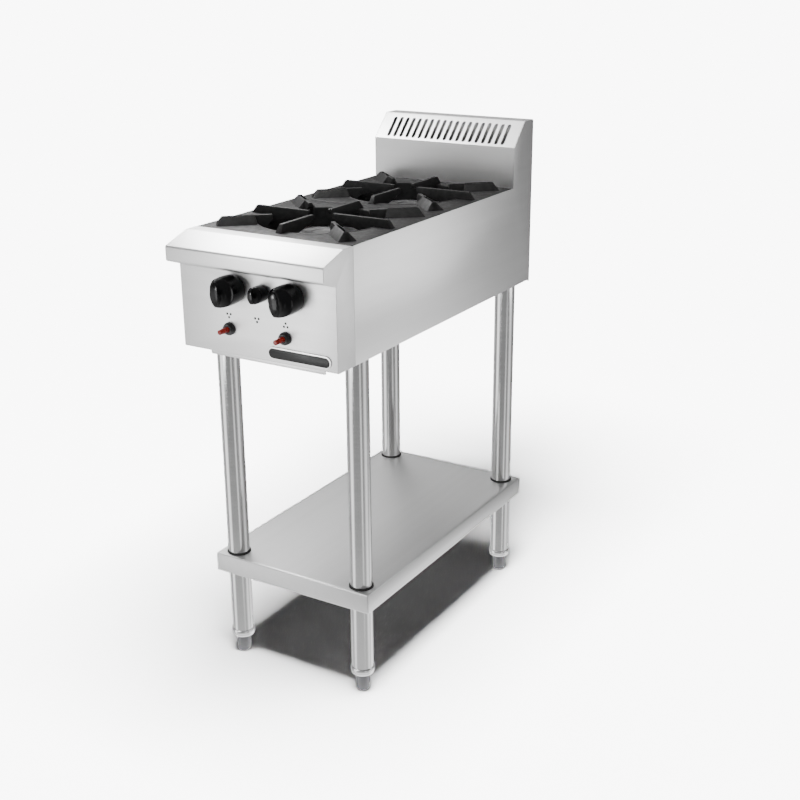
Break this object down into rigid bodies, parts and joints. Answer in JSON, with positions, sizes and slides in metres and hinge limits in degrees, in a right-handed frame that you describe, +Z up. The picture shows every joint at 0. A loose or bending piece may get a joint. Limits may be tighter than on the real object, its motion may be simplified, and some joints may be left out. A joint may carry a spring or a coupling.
{
  "type": "stock pot range",
  "caption": "Narrow open-top gas range with two burners in line, cast grates, slotted rear flue and front ledge, on a tubular stand with an undershelf.",
  "frame": {"origin": "on the floor, under the middle of the whole range's bounding box", "axes": "+X to the operator's right, +Y from the operator's side to the back, +Z up"},
  "size_m": [0.32, 0.75, 0.91],
  "materials": {
    "stainless": "brushed",
    "leg_tube": "polished stainless tube",
    "zinc_steel": "zinc plated",
    "cast_grate": "enamelled, satin",
    "burner_iron": "as cast",
    "pipe": "grey painted pipe",
    "brass": "machined",
    "copper": "drawn copper tube",
    "ceramic": "white glazed ceramic",
    "knob_black": "gloss",
    "bezel_black": "satin",
    "button_red": "gloss",
    "collar_black": "moulded",
    "foot_grey": "dark grey"
  },
  "bodies": {
    "range": {"front_panel": "stainless", "left_side_panel": "stainless", "right_side_panel": "stainless", "rear_panel": "stainless", "flue_cover": "stainless", "front_baffle": "stainless", "base_frame": "zinc_steel", "leg_spigots": "zinc_steel", "leg_screws": "zinc_steel", "left_grate_rail": "zinc_steel", "right_grate_rail": "zinc_steel", "centre_cross_bar": "zinc_steel", "rear_cross_bar": "zinc_steel", "left_tray_runner": "zinc_steel", "right_tray_runner": "zinc_steel", "front_burner": "burner_iron", "rear_burner": "burner_iron", "front_burner_bracket": "zinc_steel", "rear_burner_bracket": "zinc_steel", "gas_manifold": "pipe", "gas_inlet_pipe": "pipe", "left_gas_valve": "brass", "right_gas_valve": "brass", "pilot_gas_valve": "brass", "injectors": "brass", "left_igniter": "bezel_black", "right_igniter": "bezel_black", "front_spark_electrode": "ceramic", "rear_spark_electrode": "ceramic", "front_pilot_tube": "copper", "rear_pilot_tube": "copper", "front_left_leg": "leg_tube", "front_right_leg": "leg_tube", "rear_left_leg": "leg_tube", "rear_right_leg": "leg_tube", "undershelf": "stainless", "shelf_collars": "collar_black", "foot_sleeves": "leg_tube", "rear_panel_screws": "zinc_steel"},
    "left_knob": {"left_knob": "knob_black", "left_valve_stem": "brass"},
    "right_knob": {"right_knob": "knob_black", "right_valve_stem": "brass"},
    "pilot_knob": {"pilot_knob": "knob_black", "pilot_valve_stem": "brass"},
    "left_button": {"left_igniter_button": "button_red"},
    "right_button": {"right_igniter_button": "button_red"},
    "tray": {"drip_tray": "stainless"},
    "front_grate": {"front_grate": "cast_grate"},
    "rear_grate": {"rear_grate": "cast_grate"},
    "front_cap": {"front_burner_cap": "burner_iron"},
    "rear_cap": {"rear_burner_cap": "burner_iron"},
    "front_shutter": {"front_air_shutter": "zinc_steel"},
    "rear_shutter": {"rear_air_shutter": "zinc_steel"},
    "front_left_foot": {"front_left_foot": "foot_grey"},
    "front_right_foot": {"front_right_foot": "foot_grey"},
    "rear_left_foot": {"rear_left_foot": "foot_grey"},
    "rear_right_foot": {"rear_right_foot": "foot_grey"}
  },
  "joints": [
    {"name": "left_knob_turn", "type": "hinge", "parent": "range", "child": "left_knob", "pos_m": [-0.043, -0.325, 0.714], "axis": [0, -1, 0], "range_deg": [0, 180]},
    {"name": "right_knob_turn", "type": "hinge", "parent": "range", "child": "right_knob", "pos_m": [0.069, -0.325, 0.714], "axis": [0, -1, 0], "range_deg": [0, 180]},
    {"name": "pilot_knob_turn", "type": "hinge", "parent": "range", "child": "pilot_knob", "pos_m": [0.013, -0.325, 0.714], "axis": [0, -1, 0], "range_deg": [0, 90]},
    {"name": "left_button_push", "type": "slide", "parent": "range", "child": "left_button", "axis": [0, 1, 0], "range_m": [0, 0.006], "stiffness_N_per_m": 600, "springref_m": -0.004},
    {"name": "right_button_push", "type": "slide", "parent": "range", "child": "right_button", "axis": [0, 1, 0], "range_m": [0, 0.006], "stiffness_N_per_m": 600, "springref_m": -0.004},
    {"name": "tray_slide", "type": "slide", "parent": "range", "child": "tray", "axis": [0, -1, 0], "range_m": [0, 0.45]},
    {"name": "front_grate_lift", "type": "slide", "parent": "range", "child": "front_grate", "axis": [0, 0, 1], "range_m": [0, 0.15]},
    {"name": "rear_grate_lift", "type": "slide", "parent": "range", "child": "rear_grate", "axis": [0, 0, 1], "range_m": [0, 0.15]},
    {"name": "front_cap_lift", "type": "slide", "parent": "range", "child": "front_cap", "axis": [0, 0, 1], "range_m": [0, 0.015]},
    {"name": "rear_cap_lift", "type": "slide", "parent": "range", "child": "rear_cap", "axis": [0, 0, 1], "range_m": [0, 0.015]},
    {"name": "front_shutter_turn", "type": "hinge", "parent": "range", "child": "front_shutter", "pos_m": [-0.043, -0.251, 0.714], "axis": [0, 1, 0], "range_deg": [0, 45]},
    {"name": "rear_shutter_turn", "type": "hinge", "parent": "range", "child": "rear_shutter", "pos_m": [0.069, -0.251, 0.714], "axis": [0, 1, 0], "range_deg": [0, 45]},
    {"name": "front_left_foot_level", "type": "slide", "parent": "range", "child": "front_left_foot", "axis": [0, 0, -1], "range_m": [0, 0.025]},
    {"name": "front_right_foot_level", "type": "slide", "parent": "range", "child": "front_right_foot", "axis": [0, 0, -1], "range_m": [0, 0.025]},
    {"name": "rear_left_foot_level", "type": "slide", "parent": "range", "child": "rear_left_foot", "axis": [0, 0, -1], "range_m": [0, 0.025]},
    {"name": "rear_right_foot_level", "type": "slide", "parent": "range", "child": "rear_right_foot", "axis": [0, 0, -1], "range_m": [0, 0.025]}
  ]
}
